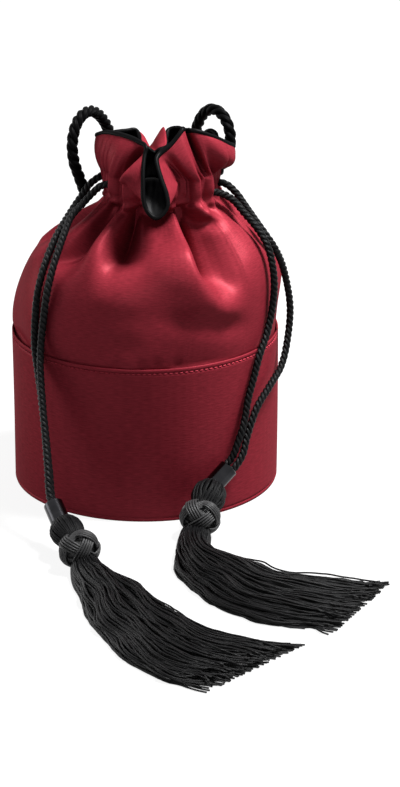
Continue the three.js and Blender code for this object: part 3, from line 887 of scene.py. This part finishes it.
# Lines of the gathers on the front, from left to right: height, azimuth and how far the cloth stands out,
# in millimetres. Valleys are negative.
FRONT_LINES = [
    [(190, 178, -1), (184, 178, -4), (176, 178, -6), (168, 178, -4), (156, 178, 0)],
    [(190, -168, -1), (184, -167, -4), (176, -166, -6), (168, -166, -4), (156, -168, 0)],
    [(190, -152, 0.5), (184, -151, 0), (178, -151, -1), (166, -153, -1), (150, -156, 0)],
    [(190, -136, -3), (184, -137, -12), (178, -138, -18), (172, -139, -20), (166, -141, -17),
     (160, -146, -11), (154, -150, -5), (148, -152, 0)],
    [(190, -124, 1), (184, -126, 2), (178, -127, 3), (172, -127, 3.5), (166, -125.5, 3), (160, -124, 1.5),
     (154, -123, 0.5), (146, -122, 0)],
    [(190, -110, -6), (184, -109.5, -12), (178, -109, -16), (172, -109, -15), (166, -110, -10),
     (160, -110.5, -5), (154, -111, -1.5), (148, -111, 1), (142, -111, 2), (136, -110, 1), (130, -110, 0)],
    [(190, -103, -4), (187, -103, -9), (183, -102, -11), (178, -101.5, -12), (172, -101, -11),
     (166, -102.5, -8), (160, -103.5, -3), (154, -105, 0), (148, -105, 2), (140, -105, 2), (132, -105, 0)],
    [(190, -93, -4), (187, -93, -13), (183, -92.5, -17), (178, -91.5, -15), (175, -90, -9), (172, -89, -3),
     (169, -88, 1.5), (165, -87, 4), (160, -85.5, 5), (154, -83.5, 4), (146, -82, 1.5), (138, -81, 0)],
    [(190, -75, -3), (187, -74.5, -9), (183, -74, -9), (178, -73.5, -4), (174, -73, 1.5), (170, -73, 5),
     (166, -72.5, 6.5), (160, -71.5, 6.5), (154, -69.5, 6.5), (148, -66.5, 5.5), (141, -62, 3),
     (134, -60, 0)],
    [(190, -66, -6), (184, -65.5, -12), (178, -65, -16), (172, -64.5, -18), (166, -64, -18),
     (160, -62.5, -17), (154, -60, -13.5), (148, -57, -8.5), (143, -55.5, -3.5), (138, -54.5, 0.5),
     (132, -54, 2), (126, -54, 0)],
    [(190, -59, -2), (184, -57, -8), (178, -56, -12), (172, -55, -14), (166, -54.5, -14), (160, -53, -13),
     (154, -52, -11), (148, -50.5, -8), (143, -49.5, -3.5), (138, -49.5, 0), (132, -49.5, 1.5),
     (126, -49.5, 0)],
    [(190, -52, 0), (184, -49.5, -2), (178, -48, -4.5), (172, -46.5, -6), (166, -45.5, -6.5),
     (160, -45, -6), (154, -45, -5), (148, -45, -4), (142, -45, -1.5), (136, -45, 0)],
    [(190, -47, 1), (184, -43, 1), (178, -41, -1.5), (172, -39.5, -3), (166, -38.5, -3), (160, -38, -2),
     (154, -38, -1), (147, -38, 0), (140, -38, 0)],
    [(190, -42, -1), (184, -36, -1), (178, -32, -1), (170, -30, -1), (160, -28, 0)],
    [(190, -35, 1), (182, -30, 1), (172, -25, 0.5), (160, -22, 0)],
    [(190, -28, -3), (184, -25, -4), (178, -22, -3.5), (170, -20, -2.5), (158, -18, 0)],
    [(190, -17, 0), (160, -12, 0)],
]

FRONT_FOLDS = [
    Fold([(-109, 191), (-109, 184), (-108.5, 176), (-109, 170), (-110, 165)], 3.0, 9,
         crease=True, start=0.7),
    Fold([(-67, 191), (-66.5, 184), (-66, 176), (-65.5, 168), (-63.5, 159), (-60, 151)], 2.4, 12,
         crease=True, start=0.7),
    Fold([(-108, 188), (-98, 185), (-88, 184), (-74, 186)], 5.0, 10, start=0.7),
    Fold([(-66, 190), (-61, 184.5), (-54, 180), (-44, 179), (-33, 179.5)], 4.0, 5.0, start=0.6),
    Fold([(-60, 190), (-52, 186.5), (-40, 184.5)], 6.5, -4.5, start=0.4),
    Fold([(-90, 132), (-72, 128.5), (-54, 123), (-34, 118)], 6.5, 2.4),
    Fold([(-82, 141), (-62, 136), (-38, 130)], 9, -1.2),
    Fold([(-120, 118), (-104, 115), (-88, 114)], 7, 1.6),
    Fold([(-101.5, 98), (-101, 104), (-100, 112)], 3.0, 1.3, start=1.0, stop=0.7),
    Fold([(-90, 100), (-90.5, 104), (-90, 108)], 2.6, 1.0, start=1.0, stop=0.7),
    Fold([(-84.5, 100), (-84, 104), (-84, 110)], 2.8, 1.1, start=1.0, stop=0.7),
    Fold([(-75.5, 100), (-75, 104), (-74, 109)], 3.0, 1.1, start=1.0, stop=0.7),
]


BACK_GATHERS = np.arange(-6, 172, 12.4)  # degrees


def back_lines():
    """Gather lines for the sides and back, valley and ridge in turn."""
    lines = []
    for k, azimuth in enumerate(BACK_GATHERS):
        slant = draw.uniform(-6, 6)
        foot = draw.uniform(136, 156)
        stand = draw.uniform(2, 4) if k % 2 else -draw.uniform(4.5, 9)
        shares = ((190, 0.3), (183, 0.7), (174, 1.0), (166, 0.9), (0.5 * (166 + foot), 0.5), (foot, 0.0))
        lines.append([(z, azimuth + slant * (190 - z) / 50, stand * share) for z, share in shares])
    return lines


def through_knots(x, y, at):
    """A smooth curve through knots that doesn't overshoot them, round a full turn."""
    x = np.concatenate([x[-2:] - 360, x, x[:2] + 360])
    y = np.concatenate([y[-2:], y, y[:2]])
    gaps, rises = np.diff(x), np.diff(y) / np.diff(x)
    before, after = rises[:-1], rises[1:]
    same = before * after > 0
    slopes = np.where(same, 2 * before * after / np.where(same, before + after, 1), 0)
    slopes = np.concatenate([[0], slopes, [0]])
    k = np.clip(np.searchsorted(x, at) - 1, 0, len(x) - 2)
    t = (at - x[k]) / gaps[k]
    return hermite(t, y[k], gaps[k] * slopes[k], y[k + 1], gaps[k] * slopes[k + 1])


def gather_relief(azimuth, height):
    """How far the gathers stand out from the shoulder, row by row."""
    lines = [np.array(line)[::-1] for line in FRONT_LINES + back_lines()]
    at = signed_degrees(azimuth)
    rows = []
    for z in height / MM:
        places = np.array([np.interp(z, line[:, 0], line[:, 1]) for line in lines])
        stands = np.array([np.interp(z, line[:, 0], line[:, 2]) for line in lines])
        order = np.argsort(places)
        rows.append(through_knots(places[order], stands[order], at) * MM)
    return np.array(rows)


SHORT_CREASES = 30
FRONT_START, FRONT_END = -140, -35  # degrees


def random_folds():
    """Short creases all round the neck."""
    folds = []
    for k in range(SHORT_CREASES):
        azimuth = 360 * (k + draw.uniform(-0.3, 0.3)) / SHORT_CREASES
        front = FRONT_START < (azimuth + 180) % 360 - 180 < FRONT_END
        reach = draw.uniform(4, 10) if front else draw.uniform(10, 26)
        drift = draw.uniform(-5, 5)
        route = [(azimuth, 192), (azimuth + drift / 2, 190 - reach / 2), (azimuth + drift, 190 - reach)]
        width, depth = draw.uniform(1.8, 2.8), draw.uniform(1.5, 4)
        folds.append(Fold(route, width, depth, crease=True, start=1.0, stop=0.8))
    return folds


def blurred(field, passes):
    """A field softened over its grid, which closes round its columns."""
    for _ in range(passes):
        padded = np.concatenate([field[:1], field, field[-1:]])
        field = 0.25 * padded[:-2] + 0.5 * padded[1:-1] + 0.25 * padded[2:]
        field = 0.25 * np.roll(field, 1, axis=1) + 0.5 * field + 0.25 * np.roll(field, -1, axis=1)
    return field


SLOW_SWELL = 0.00045
SLOW_WAVES = 14


def slow_swell(azimuth, height):
    """Broad, shallow unevenness of the hanging cloth."""
    swell = np.zeros((len(height), len(azimuth)))
    for _ in range(SLOW_WAVES):
        turns, rise, strength = draw.integers(2, 9), draw.uniform(-70, 70), draw.uniform(0.3, 1)
        phase = rise * height[:, None] + draw.uniform(0, 6.28)
        swell += strength * np.sin(turns * azimuth[None] + phase)
    return SLOW_SWELL * swell


PLEATS = 34

# The casing's larger puffs on the front: azimuth, width to the left and to the right in degrees, and how
# far they stand out in millimetres
CASING_PUFFS = [
    (-142, 7, 7, 5), (-119, 7, 14, 7.5), (-76, 14, 5.5, 6), (-65, 5.5, 5, 4.5), (-52, 6, 5, 5),
    (-34, 8, 8, 5.5),
]


def casing_pleats(azimuth, height):
    """Uneven rounded pleats round the casing with sharp valleys between them."""
    widths = draw.uniform(0.4, 1.6, PLEATS)
    valleys = 360 * np.cumsum(widths) / widths.sum()
    slants = draw.uniform(-5, 5, PLEATS)
    stands = draw.uniform(1.8, 5.6, PLEATS) * MM
    phases = draw.uniform(0, 2 * np.pi, PLEATS)
    rows = []
    for z in height:
        edges = np.sort(valleys + slants * (z - CASING_MIDDLE) / 0.008)
        edges = np.concatenate([edges[-1:] - 360, edges, edges[:1] + 360])
        at = np.degrees(azimuth) % 360
        k = np.clip(np.searchsorted(edges, at) - 1, 0, PLEATS)
        t = (at - edges[k]) / (edges[k + 1] - edges[k])
        waver = 0.8 + 0.2 * np.sin(phases[k % PLEATS] + z / 0.0035)
        rows.append(stands[k % PLEATS] * waver * np.clip(np.sin(np.pi * t), 0, 1) ** 0.55)
    pleats = np.array(rows) - 0.6 * MM
    turned = signed_degrees(azimuth)
    for place, left, right, stand in CASING_PUFFS:
        away = (turned - place) / np.where(turned < place, left, right)
        pleats = np.maximum(pleats, stand * MM * np.exp(-(away**4)))
    return pleats


def fullness(azimuth, height):
    """How far the cloth bulges over the band on the right."""
    away = azimuth - math.radians(FULLNESS_AT)
    sideways = np.clip(np.cos(away * 90 / FULLNESS_HALF), 0, 1) ** 2
    sideways = np.where(np.abs(away) < math.radians(FULLNESS_HALF), sideways, 0)
    upright = np.sin(np.pi * np.clip((height - FULLNESS_START) / FULLNESS_SPAN, 0, 1)) ** 2
    return RIGHT_FULLNESS * upright[:, None] * sideways


def top_relief(body, azimuth, height):
    """How far the cloth stands out from the plain shoulder with its gathers, folds, pleats and swells."""
    depth = sum(fold.depth_at(body.reshape(-1, 3)) for fold in FRONT_FOLDS + random_folds())
    in_casing = smoothstep(height, *CASING_FADE)[:, None]
    on_shoulder = smoothstep(height, *HEM_FADE)[:, None]
    pleats = casing_pleats(azimuth, height)
    relief = blurred(gather_relief(azimuth, height), GATHER_BLUR)
    relief = relief + blurred(-depth.reshape(body.shape[:2]), FOLD_BLUR)
    relief = relief * on_shoulder * (1 - CASING_CALM * in_casing)
    relief = relief + in_casing * pleats + slow_swell(azimuth, height) * on_shoulder
    slope = SIDE_SLOPE * np.interp(height, *zip(*SIDE_SLOPE_SHARES))[:, None]
    for place in SIDE_SLOPES_AT:
        relief = relief - slope * np.exp(-((signed_degrees(azimuth, place) / SIDE_SLOPE_WIDTH) ** 2))
    return np.maximum(relief, -np.interp(height, *zip(*DEEPEST_FOLDS))[:, None])


# Folds lean to one side, but not between these azimuths, where a leaning ridge would hide its valley
FOLD_SHEAR = 0.25
UPRIGHT_FADE = (-102, -86)
UPRIGHT_END = -20


def top_cloth_grid():
    """Rows of points from inside the band up the shoulder and casing to the ruffle's edge."""
    outline = catmull_rom(RUFFLE * RUFFLE_UNITS, RUFFLE_TURN)
    shoulder_step = BODY_RADIUS * np.radians(np.diff(outline[:, 3]))
    outline = spaced(outline, TOP_COLUMNS + 1, steps(outline) + np.abs(shoulder_step))[:-1]
    edge, azimuth, swell = outline[:, :3], np.radians(outline[:, 3]), outline[:, 4:]
    line = shoulder_line()
    line = spaced(line, int(length_of(line) / ROW_STEP))
    height = line[:, 2]
    radius = line[:, :1] + fullness(azimuth, height)
    body = around(azimuth, radius, height[:, None], lean(height)[:, None])
    relief = top_relief(body, azimuth, height)
    level = smoothstep(height, *LEVEL_FADE)[:, None, None]
    normals = unit((1 - level) * grid_normals(body) + level * around(azimuth, 1, 0))
    tangents = around(azimuth + np.pi / 2, 1, 0)
    turned = signed_degrees(azimuth)
    slant = FOLD_SHEAR * np.where(turned < UPRIGHT_END, 1 - smoothstep(turned, *UPRIGHT_FADE), 1)
    sheared = slant * relief * (1 - smoothstep(height, *CASING_FADE))[:, None]
    body = body + relief[..., None] * normals + sheared[..., None] * tangents
    share = np.linspace(0, 1, RUFFLE_ROWS + 1)[1:, None, None]
    ruffle = body[-1] * (1 - share) + edge * share + 4 * share * (1 - share) * swell
    return np.concatenate([body, ruffle])


CORD_SLIT = 0.0027
SLIT_HEIGHTS = (0.185, 0.206)
RING_MARGIN = 0.0015


def make_top(cords):
    """The outer cloth, with a slit round each place where a cord comes out of the casing."""
    grid = top_cloth_grid()
    faces, _ = grid_faces(*grid.shape[:2])
    middles = grid.reshape(-1, 3)[faces].mean(axis=1)
    near_neck = (middles[:, 2] > SLIT_HEIGHTS[0]) & (middles[:, 2] < SLIT_HEIGHTS[1])
    gap = np.full(len(faces), np.inf)
    for cord in cords:
        leaving = cord[np.hypot(cord[:, 0] - NECK_LEAN, cord[:, 1]) > RING_RADIUS + RING_MARGIN]
        apart = np.linalg.norm(middles[near_neck, None] - leaving[None, ::2], axis=2)
        gap[near_neck] = np.minimum(gap[near_neck], apart.min(axis=1))
    top = make_skin("gathered_top_cloth", grid, satin, "wine_satin", "gathered_top",
                    across=BODY_GIRTH / TOP_COLUMNS, along=ROW_STEP, kept=gap > CORD_SLIT)
    return grid


# Lining and bound edge

LINING_GAP = 0.0011
LINING_RADIUS = 0.0812
LINING_FOOT, LINING_WALL_TOP = 0.0056, 0.09
LINING_WALL_ROWS = 16
LINING_BLUR = 14
CASING_DEPTH = 0.0085
SPOUT_AT, SPOUT_HALF = -92, 30  # degrees
RAY_START = 0.00015
RAY_REACH = 3  # in steps from the cloth to its lining
CLEAR_SHARE = 0.22
CLEAR_SPREAD, CLEAR_BLUR = 4, 3


def free_share(cloth, away, first_row):
    """How much of each step from the cloth to its lining stays clear of the cloth's other folds."""
    faces, _ = grid_faces(*cloth.shape[:2])
    tree = BVHTree.FromPolygons(cloth.reshape(-1, 3).tolist(), faces.tolist())
    reach = np.linalg.norm(away, axis=-1)
    heading = away / reach[..., None]
    starts = cloth + RAY_START * heading
    share = np.ones(reach.shape)
    for row in range(first_row, len(cloth)):
        for column in range(cloth.shape[1]):
            here = row, column
            room = tree.ray_cast(Vector(starts[here]), Vector(heading[here]), RAY_REACH * reach[here])[3]
            if room is not None:
                share[here] = min(1, CLEAR_SHARE * (room + RAY_START) / reach[here])
    for _ in range(CLEAR_SPREAD):
        share = np.minimum(share, np.minimum(np.roll(share, 1, axis=1), np.roll(share, -1, axis=1)))
    share = blurred(share, CLEAR_BLUR)
    share[:first_row - 1] = 1
    return share


def make_lining(cloth):
    """The black lining: inside the ruffle, drawn in at the casing, then down the inside of the pouch."""
    rows = len(cloth) - RUFFLE_ROWS
    up_ruffle = np.arange(1, RUFFLE_ROWS + 1) / RUFFLE_ROWS
    in_casing = smoothstep(np.arange(rows), rows - 18, rows - 12)
    drawn_in = np.concatenate([in_casing, 1 - smoothstep(up_ruffle, 1 / RUFFLE_ROWS, 0.3)])[:, None, None]
    loose = np.concatenate([in_casing, 1 - smoothstep(up_ruffle, 0, 0.25)])[:, None, None]
    turned = np.concatenate([np.zeros(rows), smoothstep(up_ruffle, 0, 0.2)])[:, None, None]
    calm = cloth + loose * (blurred(cloth, LINING_BLUR) - cloth)
    normals = grid_normals(calm)
    to_neck = (NECK_LEAN, 0, 0) - calm
    to_neck[..., 2] = 0
    inward = unit((1 - turned) * unit(to_neck) - turned * normals)
    azimuth = np.degrees(np.arctan2(calm[rows - 1, :, 1], calm[rows - 1, :, 0] - NECK_LEAN))
    spout = np.exp(-(((azimuth - SPOUT_AT) / SPOUT_HALF) ** 4))[:, None]
    depth = CASING_DEPTH * drawn_in * (1 - 0.9 * turned * spout)
    away = calm - LINING_GAP * normals + depth * inward - cloth
    inner = cloth + free_share(cloth, away, rows + 2)[..., None] * away
    inner = inner[:, ::2]
    azimuth = np.arctan2(inner[0, :, 1], inner[0, :, 0])
    heights = np.linspace(LINING_FOOT, LINING_WALL_TOP, LINING_WALL_ROWS)
    wall = [around(azimuth, LINING_RADIUS, z) for z in heights]
    lining = np.concatenate([wall, inner])[::-1]
    piece = make_skin("lining_cloth", lining, black_satin, "black_lining", "lining_sleeve",
                      across=BODY_GIRTH / lining.shape[1], along=ROW_STEP)


BINDING_RADIUS = 0.0014
BINDING_SIDES = 10
BINDING_STRETCH = 1.25


def make_binding(cloth):
    """The bound edge: a rolled strip along the ruffle's edge that takes in cloth and lining."""
    normals = grid_normals(cloth)[-1]
    outward = unit(cloth[-1] - cloth[-3])
    middle = cloth[-1] - 0.5 * LINING_GAP * normals + 0.0002 * outward
    rings = []
    for angle in full_turn(BINDING_SIDES):
        spoke = math.cos(angle) * normals + BINDING_STRETCH * math.sin(angle) * outward
        rings.append(middle + BINDING_RADIUS * spoke)
    make_skin("mouth_binding_cloth", np.array(rings), black_satin, "black_lining", "mouth_binding",
              across=0.0011, along=0.0008, wrap_rows=True)


# The pouch

satin = satin_material("wine_satin", (0.14, 0.0123, 0.0193), (0.255, 0.0226, 0.0354), 0.22)
thread = satin_material("wine_thread", (0.36, 0.035, 0.055), (0.5, 0.05, 0.075), 0.0)
black_satin = satin_material("black_satin", (0.002, 0.002, 0.0022), (0.004, 0.004, 0.0043), 0.0)
black_cord = yarn_material("black_cord", (0.002, 0.002, 0.0022), (0.006, 0.006, 0.0065), 0.08, 900)
# The handle's cord is the black cord made darker: painted shade against the top light that falls on the
# handle
shaded_handle_cord = yarn_material("shaded_handle_cord", (0.001, 0.001, 0.0011), (0.003, 0.003, 0.0032), 0.02, 900)
black_yarn = yarn_material("black_yarn", (0.002, 0.002, 0.0022), (0.006, 0.006, 0.0065), 0.06, 700)
knot_yarn = yarn_material("knot_yarn", (0.016, 0.016, 0.0165), (0.04, 0.04, 0.041), 0.2, 700)
skirt_yarn = yarn_material("skirt_yarn", (0.0015, 0.0015, 0.0017), (0.005, 0.005, 0.0054), 0.12, 600)
gunmetal = gunmetal_material()
grey_board = board_material()

make_camera()
make_world()
make_floor()
make_lights()

for node, material in {
    "base_cover": satin,
    "lining_floor": black_satin,
    "base_board": grey_board,
    "band_board": grey_board,
}.items():
    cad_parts[node].data.materials.clear()
    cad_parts[node].data.materials.append(material)

drawcord_paths = []
for side, tassel, run_up, run_down, exit_azimuth, ring_z in (
    ("left", left_tassel, LEFT_RUN_UP, LEFT_RUN_DOWN, 195, CASING_MIDDLE + RING_SPACING / 2),
    ("right", right_tassel, RIGHT_RUN_UP, RIGHT_RUN_DOWN, -13, CASING_MIDDLE - RING_SPACING / 2),
):
    points = drawcord_points(tassel, run_up, run_down, exit_azimuth, ring_z)
    cord, path = make_rope(side + "_drawcord_rope", points, DRAWCORD_DIAMETER, DRAWCORD_PITCH, black_cord,
                           side + "_drawcord")
    drawcord_paths.append(path)
    ferrule = make_ferrule(side + "_ferrule_tube", tassel, side + "_ferrule")
    head = make_head(side + "_tassel_bulb", tassel, side + "_tassel_head")
    knot = make_knot(side + "_woven_knot", tassel, side + "_tassel_knot")
    make_skirt(side + "_tassel_yarns", tassel, side + "_tassel_skirt")

handle, path = make_rope("handle_rope_cord", HANDLE_POINTS, HANDLE_DIAMETER * HANDLE_LOFT, HANDLE_PITCH,
                         shaded_handle_cord, "handle_rope")

make_band()
make_stitches()
top_grid = make_top(drawcord_paths)
make_lining(top_grid)
make_binding(top_grid)

scene.view_settings.view_transform = "Standard"
